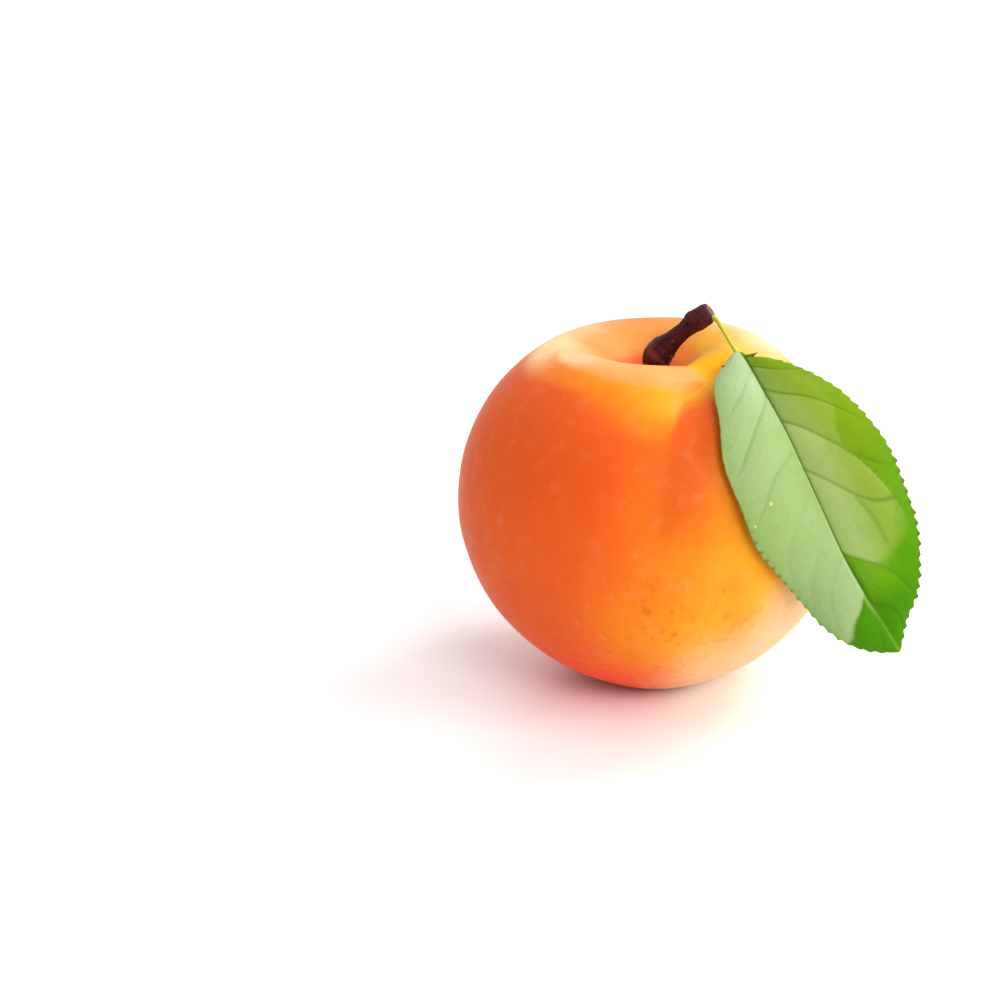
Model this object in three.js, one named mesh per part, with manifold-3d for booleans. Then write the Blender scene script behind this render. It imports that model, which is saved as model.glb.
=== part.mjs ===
// A ripe apricot with its stalk and one leaf, as picked.
// Millimetres, +Z up. The origin is the middle of the flat spot that the fruit rests on.
// -Y is its front, where the seam runs down between the two cheeks, and the leaf hangs to the right, +X.
import * as THREE from "three";
import { mergeVertices } from "three/addons/utils/BufferGeometryUtils.js";
import Module from "manifold-3d";

const { sin, cos, atan2, abs, exp, max, pow, hypot, PI } = Math;
const { degToRad: radians, smoothstep: smooth, lerp: mix } = THREE.MathUtils;
const at = (x, y, z) => new THREE.Vector3(x, y, z);

// ---- Driving dimensions: millimetres, and degrees where a name says so ----

const fruit = {
  halfWidth: 25.1, // at the equator
  topHeight: 23.4, // from the equator up, before the hollow at the stalk is taken out
  baseHeight: 24.5, // and down
  flattened: 0.9, // how much of the round base is pressed flat
  shoulderPower: 2.15, // over 2 is fuller than an ellipse
  basePower: 1.87,
  rings: 52,
  sides: 68,
};
const hollow = {
  shift: at(-0.025, 0.1, 0), // its middle leans back, as a share of the height
  depth: 7.3,
  widthDegrees: 20.5,
  power: 3.2,
};
const backShoulder = {
  height: 0.85, // above the rest of the rim
  azimuthDegrees: 163,
  downDegrees: 32,
  spreadDegrees: 18,
};
const blossomEnd = {
  shift: at(-0.33, 0.1, 0), // it looks down to the left, as a share of the height
  height: 0.6,
  width: 1.7,
};
const seam = {
  shoulderDepth: 1.9, // where it crosses the shoulder
  shoulderDegrees: 35, // how far down from the stalk that is
  shoulderSpread: 15,
  sideDepth: 0.7, // down the side
  leftWidth: 3.8,
  rightWidth: 3.0,
  crease: 0.35, // how round the bottom of the groove is
  cheekHeight: 0.8, // how far the right cheek stands above the left one at the shoulder
  cheekWidth: 15,
  azimuthDegrees: 6.5, // from the front to the right, low down
  sweepDegrees: 27, // how much further right it crosses the shoulder
  sweepFade: 9.5,
};

const stalk = {
  path: [
    at(0.2, 3.1, 39.7),
    at(0.3, 2.2, 42.4),
    at(1.1, 1.8, 43.6),
    at(2.8, 0.9, 45.5),
    at(4.2, 0.4, 47.0),
    at(5.6, -0.1, 48.3),
    at(6.6, -0.5, 49.3),
  ],
  // share of the length, radius
  radii: [
    [0, 1.2],
    [0.14, 1.35],
    [0.24, 1.75],
    [0.34, 1.6],
    [0.52, 1.1],
    [0.64, 1.12],
    [0.8, 1.52],
    [0.93, 1.45],
    [1, 1.1],
  ],
  ridges: 7,
  ridgeHeight: 0.07,
  steps: 30,
  sides: 20,
};
const gap = 0.4; // between pieces that touch

const leaf = {
  petiole: [at(6.9, -1.95, 49.0), at(7.6, -3.6, 48.4), at(8.5, -5.8, 47.4), at(9.7, -7.9, 46.1)],
  midrib: [
    at(10.4, -8.7, 45.6),
    at(12.6, -13.6, 42.4),
    at(14.9, -16.4, 38.7),
    at(17.0, -17.8, 34.5),
    at(19.2, -18.5, 29.9),
    at(22.2, -19.3, 23.7),
    at(25.7, -19.2, 17.5),
    at(29.8, -18.5, 10.7),
  ],
  leftMargin: [
    at(10.0, -8.6, 45.6),
    at(7.8, -11.0, 45.1),
    at(6.4, -14.0, 44.0),
    at(6.6, -18.9, 40.8),
    at(7.0, -22.0, 37.1),
    at(8.9, -23.8, 31.7),
    at(11.4, -23.9, 26.0),
    at(15.8, -21.1, 19.8),
    at(20.5, -20.0, 14.1),
    at(24.5, -19.5, 11.4),
    at(29.7, -18.5, 10.6),
  ],
  rightMargin: [
    at(10.7, -8.5, 45.5),
    at(13.2, -9.2, 45.6),
    at(17.1, -11.0, 44.9),
    at(22.7, -12.9, 41.8),
    at(26.9, -15.0, 37.3),
    at(30.0, -16.7, 30.8),
    at(31.7, -17.6, 24.2),
    at(31.7, -17.9, 18.7),
    at(30.3, -18.3, 14.0),
    at(29.9, -18.5, 10.7),
  ],
  bulge: 0.9, // of each half, between the midrib and the margin
  waves: 5, // along each half
  waveHeight: 0.2,
  thickness: 0.6,
  teeth: 48, // on each margin
  toothDepth: 0.36,
  toothLean: 0.4, // towards the leaf's tip, as a share of half a tooth
  petioleRadius: 0.36,
  midribRadius: 0.34,
};

// ---- From points to solids ----

const wasm = await Module();
wasm.setup();

function geometryFrom(vertices, faces) {
  const geometry = new THREE.BufferGeometry().setFromPoints(vertices);
  geometry.setIndex(faces);
  return geometry;
}

function toSolid(geometry) {
  const bare = geometry.clone();
  bare.deleteAttribute("normal");
  bare.deleteAttribute("uv");
  const merged = mergeVertices(bare, 1e-4);
  return new wasm.Manifold(
    new wasm.Mesh({
      numProp: 3,
      vertProperties: merged.attributes.position.array,
      triVerts: new Uint32Array(merged.index.array),
    }),
  );
}

function toGeometry(solid) {
  const { vertProperties, triVerts } = solid.getMesh();
  const geometry = new THREE.BufferGeometry();
  geometry.setAttribute("position", new THREE.BufferAttribute(vertProperties, 3));
  geometry.setIndex(new THREE.BufferAttribute(triVerts, 1));
  geometry.computeVertexNormals();
  return geometry;
}

// A closed skin through rings of points. Each ring runs anticlockwise seen from the ring after it.
function loft(rings) {
  const sides = rings[0].length;
  const vertices = rings.flat();
  const faces = [];
  const corner = (ring, side) => ring * sides + (side % sides);
  for (let r = 0; r + 1 < rings.length; r++)
    for (let k = 0; k < sides; k++) {
      faces.push(corner(r, k), corner(r, k + 1), corner(r + 1, k + 1));
      faces.push(corner(r, k), corner(r + 1, k + 1), corner(r + 1, k));
    }
  const last = rings.length - 1;
  for (const ring of [0, last]) {
    const middle = vertices.length;
    const centre = at(0, 0, 0);
    rings[ring].forEach((p) => centre.addScaledVector(p, 1 / sides));
    vertices.push(centre);
    for (let k = 0; k < sides; k++) {
      const pair = [corner(ring, k), corner(ring, k + 1)];
      faces.push(...(ring === last ? pair : pair.reverse()), middle);
    }
  }
  return geometryFrom(vertices, faces);
}

// A round limb along a curve, with a radius for each share of its length and turn round it.
function limb(curve, steps, sides, radiusAt) {
  const { normals, binormals } = curve.computeFrenetFrames(steps);
  const rings = normals.map((normal, i) => {
    const share = i / steps;
    const centre = curve.getPointAt(share);
    return Array.from({ length: sides }, (_, k) => {
      const turn = (2 * PI * k) / sides;
      const radius = radiusAt(share, turn);
      return centre
        .clone()
        .addScaledVector(normal, radius * cos(turn))
        .addScaledVector(binormals[i], radius * sin(turn));
    });
  });
  return loft(rings);
}

// A closed skin round two alike grids of points, the upper face and the lower, row by row.
// Both faces are cut along the same diagonals.
function sheet(upper, lower, width) {
  const faces = [];
  const under = upper.length;
  const rows = under / width;
  for (let r = 0; r + 1 < rows; r++)
    for (let c = 0; c + 1 < width; c++) {
      const here = r * width + c;
      const beyond = here + width;
      faces.push(here, beyond, beyond + 1, here, beyond + 1, here + 1);
      faces.push(under + here, under + beyond + 1, under + beyond);
      faces.push(under + here, under + here + 1, under + beyond + 1);
    }
  const border = [];
  for (let r = 0; r < rows - 1; r++) border.push(r * width);
  for (let c = 0; c < width - 1; c++) border.push((rows - 1) * width + c);
  for (let r = rows - 1; r > 0; r--) border.push(r * width + width - 1);
  for (let c = width - 1; c > 0; c--) border.push(c);
  border.forEach((here, i) => {
    const next = border[(i + 1) % border.length];
    faces.push(next, here, under + here);
    faces.push(next, under + here, under + next);
  });
  return geometryFrom([...upper, ...lower], faces);
}

// A value that runs smoothly through [share, value] stations.
function through(stations, share) {
  const after = stations.findIndex(([s]) => s >= share);
  if (after <= 0) return stations[0][1];
  const [s0, v0] = stations[after - 1];
  const [s1, v1] = stations[after];
  return mix(v0, v1, smooth(share, s0, s1));
}

// ---- The fruit ----

const centreHeight = fruit.baseHeight - fruit.flattened;

// Distance from the middle of the body to its skin, before its hollow and its seam.
function bodyRadius(towards) {
  const [height, power] =
    towards.z > 0 ? [fruit.topHeight, fruit.shoulderPower] : [fruit.baseHeight, fruit.basePower];
  const across = hypot(towards.x, towards.y) / fruit.halfWidth;
  return pow(pow(across, power) + pow(abs(towards.z) / height, power), -1 / power);
}

// The way from the stalk, 0, to the blossom end, PI, and the turn round it from the front to the right.
function fruitDirection(down, turn) {
  const upperShare = (1 + cos(down)) / 2;
  return at(sin(down) * sin(turn), -sin(down) * cos(turn), cos(down))
    .addScaledVector(hollow.shift, upperShare)
    .addScaledVector(blossomEnd.shift, 1 - upperShare)
    .normalize();
}

function seamTurn(down) {
  const past = max(0, down - radians(seam.shoulderDegrees));
  const swept = seam.sweepDegrees * exp(-past / radians(seam.sweepFade));
  return radians(seam.azimuthDegrees + swept);
}

// Near 1 where the seam crosses the shoulder, and falling away up and down from there.
function shoulderShare(down) {
  const off = (down - radians(seam.shoulderDegrees)) / radians(seam.shoulderSpread);
  return exp(-off * off);
}

// How far the seam and the cheek to its right lower or raise the skin, at a distance from the seam.
function seamLift(down, distance) {
  const side = seam.sideDepth * smooth(down, 0.5, 1) * (1 - 0.6 * smooth(down, 2, 2.9));
  const depth = seam.shoulderDepth * shoulderShare(down) + side;
  const width = distance < 0 ? seam.leftWidth : seam.rightWidth;
  const groove = exp(-(hypot(distance, seam.crease) - seam.crease) / width);
  const spread = distance / seam.cheekWidth;
  const cheek = smooth(distance, 0, 6) * exp(-spread * spread) * shoulderShare(0.8 * down);
  return seam.cheekHeight * cheek - depth * groove;
}

const hollowAxis = fruitDirection(0, 0);

function fruitPoint(down, turnFromSeam) {
  const towards = fruitDirection(down, seamTurn(down) + turnFromSeam);
  const offAxis = towards.angleTo(hollowAxis);
  const dent = hollow.depth * exp(-pow(offAxis / radians(hollow.widthDegrees), hollow.power));
  const azimuth = atan2(towards.x, -towards.y) - radians(backShoulder.azimuthDegrees);
  const offShoulder = (offAxis - radians(backShoulder.downDegrees)) / radians(backShoulder.spreadDegrees);
  const raised = backShoulder.height * cos(azimuth) * exp(-offShoulder * offShoulder);
  const fromTip = ((PI - down) * fruit.baseHeight) / blossomEnd.width;
  const nub = blossomEnd.height * exp(-fromTip * fromTip);
  const groove = seamLift(down, turnFromSeam * sin(down) * fruit.halfWidth);
  return towards
    .multiplyScalar(bodyRadius(towards) + raised - dent + nub + groove)
    .add(at(0, 0, centreHeight));
}

// Shares from 0 to 1 made to crowd at both ends.
const crowdEnds = (share, much) => share - (much * sin(2 * PI * share)) / (2 * PI);

function fruitBody() {
  const rings = [];
  for (let r = 1; r < fruit.rings; r++) {
    const down = PI * crowdEnds(r / fruit.rings, 0.4);
    rings.push(
      Array.from({ length: fruit.sides }, (_, k) => {
        const share = crowdEnds(k / fruit.sides, 0.55);
        return fruitPoint(down, 2 * PI * (share > 0.5 ? share - 1 : share));
      }),
    );
  }
  const slab = new THREE.BoxGeometry(60, 60, 20).translate(0, 0, -10);
  return toSolid(loft(rings.reverse())).subtract(toSolid(slab));
}

// ---- The stalk ----

function stalkBody(grownBy = 0) {
  const [foot, ...rest] = stalk.path;
  const curve = new THREE.CatmullRomCurve3([foot.clone().sub(at(0, 0, grownBy)), ...rest]);
  return toSolid(
    limb(curve, stalk.steps, stalk.sides, (share, turn) => {
      const bark = stalk.ridgeHeight * sin(stalk.ridges * turn + 4 * share);
      return through(stalk.radii, share) + bark + grownBy;
    }),
  );
}

// ---- The leaf ----

const midribCurve = new THREE.CatmullRomCurve3(leaf.midrib);
const leftCurve = new THREE.CatmullRomCurve3(leaf.leftMargin);
const rightCurve = new THREE.CatmullRomCurve3(leaf.rightMargin);

// The middle of the blade's thickness: along the leaf from 0 at its base to 1 at its tip,
// and across from -1 at the left margin to 1 at the right one.
function bladePoint(along, across) {
  const middle = midribCurve.getPointAt(along);
  const ahead = midribCurve.getTangentAt(along);
  const reach = (across < 0 ? leftCurve : rightCurve).getPointAt(along).sub(middle);
  const upward = reach.clone().cross(ahead).multiplyScalar(across < 0 ? 1 : -1).normalize();
  const share = abs(across);
  const wave = leaf.waveHeight * share * share * sin(2 * PI * leaf.waves * along);
  const widest = reach.length() / 10;
  const lift = (leaf.bulge * 4 * share * (1 - share) + wave) * widest;
  return middle.addScaledVector(reach, share).addScaledVector(upward, lift);
}

// Out of the blade's upper face.
function bladeNormal(along, across) {
  const inside = mix(0.01, 0.99, along);
  const middle = across * 0.98;
  const rightward = bladePoint(inside, middle + 0.02).sub(bladePoint(inside, middle - 0.02));
  const ahead = bladePoint(inside + 0.01, middle).sub(bladePoint(inside - 0.01, middle));
  return ahead.cross(rightward).normalize();
}

function bladeSheet() {
  const rows = 2 * leaf.teeth + 1;
  const columns = [-1, -0.93, -0.72, -0.48, -0.24, 0, 0.24, 0.48, 0.72, 0.93, 1];
  const upper = [];
  const lower = [];
  for (let row = 0; row < rows; row++)
    for (const across of columns) {
      const along = mix(0.006, 0.994, row / (rows - 1));
      const toothed = abs(across) === 1 && row % 2 === 1;
      const lean = toothed ? leaf.toothLean / rows : 0;
      const p = bladePoint(along + lean, across);
      const outward = p.clone().sub(bladePoint(along, 0.9 * across)).normalize();
      if (toothed) p.addScaledVector(outward, leaf.toothDepth);
      const normal = bladeNormal(along, across);
      upper.push(p.clone().addScaledVector(normal, leaf.thickness / 2));
      lower.push(p.clone().addScaledVector(normal, -leaf.thickness / 2));
    }
  return sheet(upper, lower, columns.length);
}

function leafBody() {
  const blade = toSolid(bladeSheet());
  const shares = [0.04, 0.2, 0.4, 0.6, 0.8, 0.95];
  const underMidrib = shares.map((share) => {
    return bladePoint(share, 0).addScaledVector(bladeNormal(share, 0), -leaf.thickness / 2);
  });
  const ribCurve = new THREE.CatmullRomCurve3([...leaf.petiole, ...underMidrib]);
  const rib = limb(ribCurve, 44, 8, (share) => {
    return mix(leaf.petioleRadius, leaf.midribRadius, smooth(share, 0.1, 0.6));
  });
  return blade.add(toSolid(rib));
}

// ---- The object ----

function piece(name, solid, color, roughness) {
  const material = new THREE.MeshStandardMaterial({ color, roughness, metalness: 0 });
  const mesh = new THREE.Mesh(toGeometry(solid), material);
  mesh.name = name;
  return mesh;
}

const apricot = new THREE.Group();
apricot.add(
  piece("fruit", fruitBody().subtract(stalkBody(gap)), 0xf58a2c, 0.5),
  piece("stalk", stalkBody(), 0x4a2024, 0.7),
  piece("leaf", leafBody(), 0x6ba32f, 0.4),
);
export default apricot;
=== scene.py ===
import math

import bpy
import numpy as np
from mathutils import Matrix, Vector, noise


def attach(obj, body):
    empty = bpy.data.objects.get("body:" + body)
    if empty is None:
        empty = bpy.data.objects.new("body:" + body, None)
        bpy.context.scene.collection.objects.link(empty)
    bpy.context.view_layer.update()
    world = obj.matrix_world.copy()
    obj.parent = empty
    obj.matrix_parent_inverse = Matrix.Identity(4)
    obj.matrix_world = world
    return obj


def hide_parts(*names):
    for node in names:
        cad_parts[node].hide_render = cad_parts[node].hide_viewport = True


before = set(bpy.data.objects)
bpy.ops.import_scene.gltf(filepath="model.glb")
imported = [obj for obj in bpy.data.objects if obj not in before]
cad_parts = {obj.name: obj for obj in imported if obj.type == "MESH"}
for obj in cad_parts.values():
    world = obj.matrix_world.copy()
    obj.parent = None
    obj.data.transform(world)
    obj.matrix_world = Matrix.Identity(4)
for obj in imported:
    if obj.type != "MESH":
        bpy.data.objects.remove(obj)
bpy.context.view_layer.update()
mm = 0.001  # the shapes are worked out in millimetres
fullTurn = 2 * math.pi
spanSteps = 40  # how finely a curve is worked out between two of its points


# Methods that add a Math node, with the socket first, second or alone among its values.
def first(operation):
    return lambda self, other: self.math(operation, self, other)


def second(operation):
    return lambda self, other: self.math(operation, other, self)


def alone(operation):
    return lambda self: self.math(operation, self)


class Wire:  # a node's socket that takes part in sums, in shader and geometry trees alike
    def __init__(self, tree, socket=None, owner=None):
        self.tree, self.socket, self.owner = tree, socket, owner

    def node(self, kind, settings=None, inputs=None, output=0):
        made = self.tree.nodes.new(kind)
        for name, value in (settings or {}).items():
            setattr(made, name, value)
        for key, value in (inputs or {}).items():
            if isinstance(value, Wire):
                self.tree.links.new(value.socket, made.inputs[key])
            else:
                made.inputs[key].default_value = value
        return Wire(self.tree, made.outputs[output] if made.outputs else None, made)

    def out(self, name):
        return Wire(self.tree, self.owner.outputs[name], self.owner)

    def math(self, operation, *values):
        return self.node("ShaderNodeMath", {"operation": operation}, dict(enumerate(values)))

    __add__, __radd__ = first("ADD"), second("ADD")
    __sub__, __rsub__ = first("SUBTRACT"), second("SUBTRACT")
    __mul__, __rmul__ = first("MULTIPLY"), second("MULTIPLY")
    __truediv__, __rtruediv__ = first("DIVIDE"), second("DIVIDE")
    __pow__, __rpow__ = first("POWER"), second("POWER")
    __abs__, exp, sin, cos, root = map(alone, ("ABSOLUTE", "EXPONENT", "SINE", "COSINE", "SQRT"))
    atLeast, atMost, above = map(first, ("MAXIMUM", "MINIMUM", "GREATER_THAN"))

    def __neg__(self):
        return self * -1

    def bell(self, width):
        return (-((self / width) ** 2)).exp()

    def smooth(self, low, high, start=0, end=1):
        values = {0: self, 1: low, 2: high, 3: start, 4: end}
        return self.node("ShaderNodeMapRange", {"interpolation_type": "SMOOTHSTEP"}, values)

    def vector(self, operation, *values, output=0):
        return self.node("ShaderNodeVectorMath", {"operation": operation}, dict(enumerate(values)), output)

    def scaled(self, factor):
        return self.node("ShaderNodeVectorMath", {"operation": "SCALE"}, {0: self, "Scale": factor})

    def parts(self):
        split = self.node("ShaderNodeSeparateXYZ", None, {0: self})
        return split, split.out("Y"), split.out("Z")

    def joined(self, x, y, z):
        return self.node("ShaderNodeCombineXYZ", None, {0: x, 1: y, 2: z})

    def blend(self, under, over):  # colours, by this mask
        return self.node("ShaderNodeMix", {"data_type": "RGBA"}, {0: self, 6: under, 7: over}, 2)


def paint(red, green, blue):  # the colour as a screen shows it, 0 to 255, to the renderer's own
    return tuple(
        c / 12.92 if c <= 0.04045 else ((c + 0.055) / 1.055) ** 2.4
        for c in (red / 255, green / 255, blue / 255)
    ) + (1,)


def newMaterial(name, **fixed):  # also gives a wire and the place on the object
    material = bpy.data.materials.new(name)
    material.use_nodes = True
    for key, value in fixed.items():
        material.node_tree.nodes["Principled BSDF"].inputs[key.replace("_", " ")].default_value = value
    wire = Wire(material.node_tree)
    return material, wire, wire.node("ShaderNodeTexCoord", None, None, 3)


def feed(owner, shader, wires):
    for name, wire in wires.items():
        owner.node_tree.links.new(wire.socket, owner.node_tree.nodes[shader].inputs[name])
    return owner


def coated(material, wires):
    return feed(material, "Principled BSDF", wires)


def carried(wire, *names):  # values that the mesh carries for its material
    return [wire.node("ShaderNodeAttribute", {"attribute_name": name}, None, 2) for name in names]


def noiseAt(place, scale, detail=3, roughness=0.5, output=0):
    values = {"Vector": place, "Scale": scale, "Detail": detail, "Roughness": roughness}
    return place.node("ShaderNodeTexNoise", None, values, output)


def cellsAt(place, scale, feature="F1"):
    return place.node("ShaderNodeTexVoronoi", {"feature": feature}, {"Vector": place, "Scale": scale})


def bumpFrom(height, depth, below=None):
    values = {"Strength": 1, "Distance": depth, "Height": height}
    if below:
        values["Normal"] = below
    return height.node("ShaderNodeBump", None, values)


# Where a patch of colour lies. Each border names a value and where the patch fades in along it.
def patch(at, name, start=None):
    mask = start
    for label, out, full in at["patches"][name]:
        border = at[label].smooth(out, full)
        mask = border if mask is None else mask * border
    return mask


def laid(colour, look, layers):  # each layer is a mask and the name of its colour
    for mask, name in layers:
        colour = mask.blend(colour, look[name])
    return colour


def radians(*degrees):
    return tuple(math.radians(angle) for angle in degrees)


def placed(name, data):
    made = bpy.data.objects.new(name, data)
    bpy.context.collection.objects.link(made)
    return made


def newPiece(name, mesh, material, replaced=None):
    piece = placed(name, mesh)
    if not mesh.materials:
        mesh.materials.append(material)
    mesh.shade_smooth()
    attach(piece, "root")
    if replaced:
        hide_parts(replaced)
    print("made", name, len(mesh.polygons), "faces")


def carry(mesh, values):
    for label, numbers in values.items():
        layer = mesh.attributes.new(label, "FLOAT", "POINT")
        layer.data.foreach_set("value", np.asarray(numbers, np.float32))


def meshFrom(name, points, faces, values=None):
    mesh = bpy.data.meshes.new(name)
    mesh.from_pydata([tuple(p) for p in np.asarray(points) * mm], [], [tuple(f) for f in faces])
    carry(mesh, values or {})
    mesh.update()
    return mesh


class Grower:  # a geometry tree with named inputs, and its first nodes
    def __init__(self, name, sizes):
        self.tree = bpy.data.node_groups.new(name, "GeometryNodeTree")
        face = self.tree.interface
        face.new_socket("Geometry", in_out="INPUT", socket_type="NodeSocketGeometry")
        for label, value in sizes.items():
            kind = "NodeSocketInt" if isinstance(value, int) else "NodeSocketFloat"
            face.new_socket(label, in_out="INPUT", socket_type=kind)
        face.new_socket("Geometry", in_out="OUTPUT", socket_type="NodeSocketGeometry")
        self.sizes = sizes
        self.wire = Wire(self.tree)
        self.given = self.wire.node("NodeGroupInput")

    def size(self, label):
        return self.given.out(label)

    def finish(self, geometry, material):
        solid = self.wire.node("GeometryNodeRealizeInstances", None, {0: geometry})
        solid = self.wire.node("GeometryNodeSetMaterial", None, {"Geometry": solid, "Material": material})
        self.wire.node("NodeGroupOutput", None, {0: solid})

    def grow(self, name, ground=None):  # runs the tree over a mesh and keeps what it makes
        carrier = placed(name + "Ground", ground or bpy.data.meshes.new(name))
        modifier = carrier.modifiers.new(name, "NODES")
        modifier.node_group = self.tree
        for item in self.tree.interface.items_tree:
            if item.in_out == "INPUT" and item.name in self.sizes:
                modifier[item.identifier] = self.sizes[item.name]
        seen = carrier.evaluated_get(bpy.context.evaluated_depsgraph_get())
        mesh = bpy.data.meshes.new_from_object(seen)
        mesh.name = name
        bpy.data.objects.remove(carrier)
        return mesh


def unit(v, tiny=0):  # by the last axis
    return v / (np.linalg.norm(v, axis=-1, keepdims=True) + tiny)


# A smooth curve through the points. It is stepped evenly along its length for a count, or at
# the shares of its length that are given.
def curveThrough(points, steps):
    p = np.asarray(points, float)
    p = np.vstack([2 * p[0] - p[1], p, 2 * p[-1] - p[-2]])
    fine = []
    for a, b, c, d in zip(p, p[1:], p[2:], p[3:]):
        t1, t2, t3 = np.cumsum([np.linalg.norm(q - r) ** 0.5 for q, r in ((b, a), (c, b), (d, c))])
        t = np.linspace(t1, t2, spanSteps, endpoint=False)[:, None]
        ab = (t1 - t) / t1 * a + t / t1 * b
        bc = (t2 - t) / (t2 - t1) * b + (t - t1) / (t2 - t1) * c
        cd = (t3 - t) / (t3 - t2) * c + (t - t2) / (t3 - t2) * d
        abc = (t2 - t) / t2 * ab + t / t2 * bc
        bcd = (t3 - t) / (t3 - t1) * bc + (t - t1) / (t3 - t1) * cd
        fine.append((t2 - t) / (t2 - t1) * abc + (t - t1) / (t2 - t1) * bcd)
    fine = np.vstack([*fine, p[-2]])
    run = np.concatenate([[0], np.cumsum(np.linalg.norm(np.diff(fine, axis=0), axis=1))])
    where = np.linspace(0, run[-1], steps) if np.isscalar(steps) else np.asarray(steps) * run[-1]
    return np.stack([np.interp(where, run, fine[:, k]) for k in range(3)], 1)


# The value at each share of the way, eased from one station to the next.
def stationed(stations, share):
    places, values = zip(*stations)
    i = np.clip(np.searchsorted(places, share), 1, len(places) - 1)
    low, high = np.take(places, i - 1), np.take(places, i)
    t = np.clip((share - low) / (high - low), 0, 1)
    t = t * t * (3 - 2 * t)
    return np.take(values, i - 1) * (1 - t) + np.take(values, i) * t


# Rings of points across a path. The turn runs right-handed about the way ahead.
def ringsAlong(path, sides, radius):
    ahead = unit(np.gradient(path, axis=0))
    across = np.cross(ahead[0], (0, 1, 0))
    turn = np.linspace(0, fullTurn, sides, endpoint=False)
    rings = []
    for centre, way, r in zip(path, ahead, radius):
        across = unit(across - way * (across @ way))
        side = np.cross(way, across)
        rings.append(centre + r[:, None] * (np.cos(turn)[:, None] * across + np.sin(turn)[:, None] * side))
    return np.array(rings)


# The faces of a closed skin over those rings, with a point in the middle of each end.
def skinOver(rings, sides):
    faces = []
    for r in range(rings - 1):
        for k in range(sides):
            a, b = r * sides + k, r * sides + (k + 1) % sides
            faces.append((a, b, b + sides, a + sides))
    first, last = rings * sides, rings * sides + 1
    top = (rings - 1) * sides
    for k in range(sides):
        faces.append(((k + 1) % sides, k, first))
        faces.append((top + k, top + (k + 1) % sides, last))
    return faces


# The camera looks at the fruit from the front, a little from above.
cameraSet = {
    "aim": (-19.73, 0.07, 23.68), "distance": 358, "elevation": 20, "lens": 100,
    "near": 0.01, "far": 20,
}


def makeCamera():
    camera = placed("camera", bpy.data.cameras.new("camera"))
    up = math.radians(cameraSet["elevation"])
    back = Vector((0, -math.cos(up), math.sin(up)))
    camera.location = (Vector(cameraSet["aim"]) + back * cameraSet["distance"]) * mm
    camera.rotation_euler = (-back).to_track_quat("-Z", "Y").to_euler()
    camera.data.lens = cameraSet["lens"]
    camera.data.clip_start, camera.data.clip_end = cameraSet["near"], cameraSet["far"]
    bpy.context.scene.camera = camera
    print("camera placed")


makeCamera()


# The fruit: a flat grid, rolled up into a ball whose radius goes by which way each point looks.
# Sizes are in millimetres, and down is the angle from straight up.
fruit = {
    "inputs": {
        "Half Width": 25.1, "Top Height": 23.4, "Base Height": 24.5, "Hollow Depth": 7.3,
        "Hollow Width": math.radians(20.5), "Back Shoulder": 0.85, "Seam At Shoulder": 1.9,
        "Seam Down Side": 0.38, "Right Cheek": 0.8, "Blossom Nub": 0.6, "Lumps": 0.16, "Puckers": 0.16,
        "Rings": 250, "Sides": 300,
    },
    "flattened": 0.9, "shoulderPower": 2.15, "basePower": 1.87, "hollowPower": 3.2,
    "hollowShift": (-0.025, 0.1), "blossomShift": (-0.33, 0.1), "nubWidth": 1.7,
    "backAzimuth": math.radians(163), "backDown": math.radians(32), "backSpread": math.radians(18),
    "seamAzimuth": math.radians(6.5), "seamSweep": math.radians(27), "seamFade": math.radians(9.5),
    "seamShoulder": math.radians(35), "seamSpread": math.radians(15), "seamStarts": (0.5, 1),
    "seamEnds": (2, 2.9), "seamLoss": 0.6, "seamLeft": 3.8, "seamRight": 3, "crease": 0.7,
    "cheekStarts": 6, "cheekWidth": 15, "cheekDrop": 0.8, "lumpScale": 2.3,
    "stalkFoot": (0.35, 2.2), "puckerCount": 9, "puckerWander": 5, "puckerStarts": (0.6, 2.2),
    "puckerReach": 4.2, "seamCrowding": 0.6, "endCrowding": 0.4, "weld": 0.004,
}
centreHeight = fruit["inputs"]["Base Height"] - fruit["flattened"]


# Which way each point of the grid looks from the middle, and where it is from the seam and the top.
def directions(wire):
    flatX, flatY, _ = wire.node("GeometryNodeInputPosition").parts()
    spread = flatX - (flatX * fullTurn).sin() * (fruit["seamCrowding"] / fullTurn)
    fromSeam = spread * fullTurn
    share = 0.5 - flatY
    down = (share - (share * fullTurn).sin() * (fruit["endCrowding"] / fullTurn)) * math.pi
    past = (down - fruit["seamShoulder"]).atLeast(0)
    turn = fromSeam + fruit["seamAzimuth"] + (past / -fruit["seamFade"]).exp() * fruit["seamSweep"]
    upper = (down.cos() + 1) * 0.5
    lower = 1 - upper
    (topX, topY), (footX, footY) = fruit["hollowShift"], fruit["blossomShift"]
    x = down.sin() * turn.sin() + upper * topX + lower * footX
    y = upper * topY + lower * footY - down.sin() * turn.cos()
    return wire.vector("NORMALIZE", wire.joined(x, y, down.cos())), fromSeam, down


# The seam's groove, and the cheek that stands proud to the right of it.
def seamAndCheek(distance, down, size):
    atShoulder = (down - fruit["seamShoulder"]).bell(fruit["seamSpread"])
    downSide = down.smooth(*fruit["seamStarts"]) * (1 - down.smooth(*fruit["seamEnds"]) * fruit["seamLoss"])
    depth = size("Seam At Shoulder") * atShoulder + size("Seam Down Side") * downSide
    right = distance.above(0)
    width = right * (fruit["seamRight"] - fruit["seamLeft"]) + fruit["seamLeft"]
    bottom = (distance * distance + fruit["crease"] ** 2).root() - fruit["crease"]
    groove = (-(bottom / width)).exp()
    proud = distance.smooth(0, fruit["cheekStarts"]) * distance.bell(fruit["cheekWidth"])
    proud = proud * (down * fruit["cheekDrop"] - fruit["seamShoulder"]).bell(fruit["seamSpread"])
    return depth * groove, proud


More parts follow.
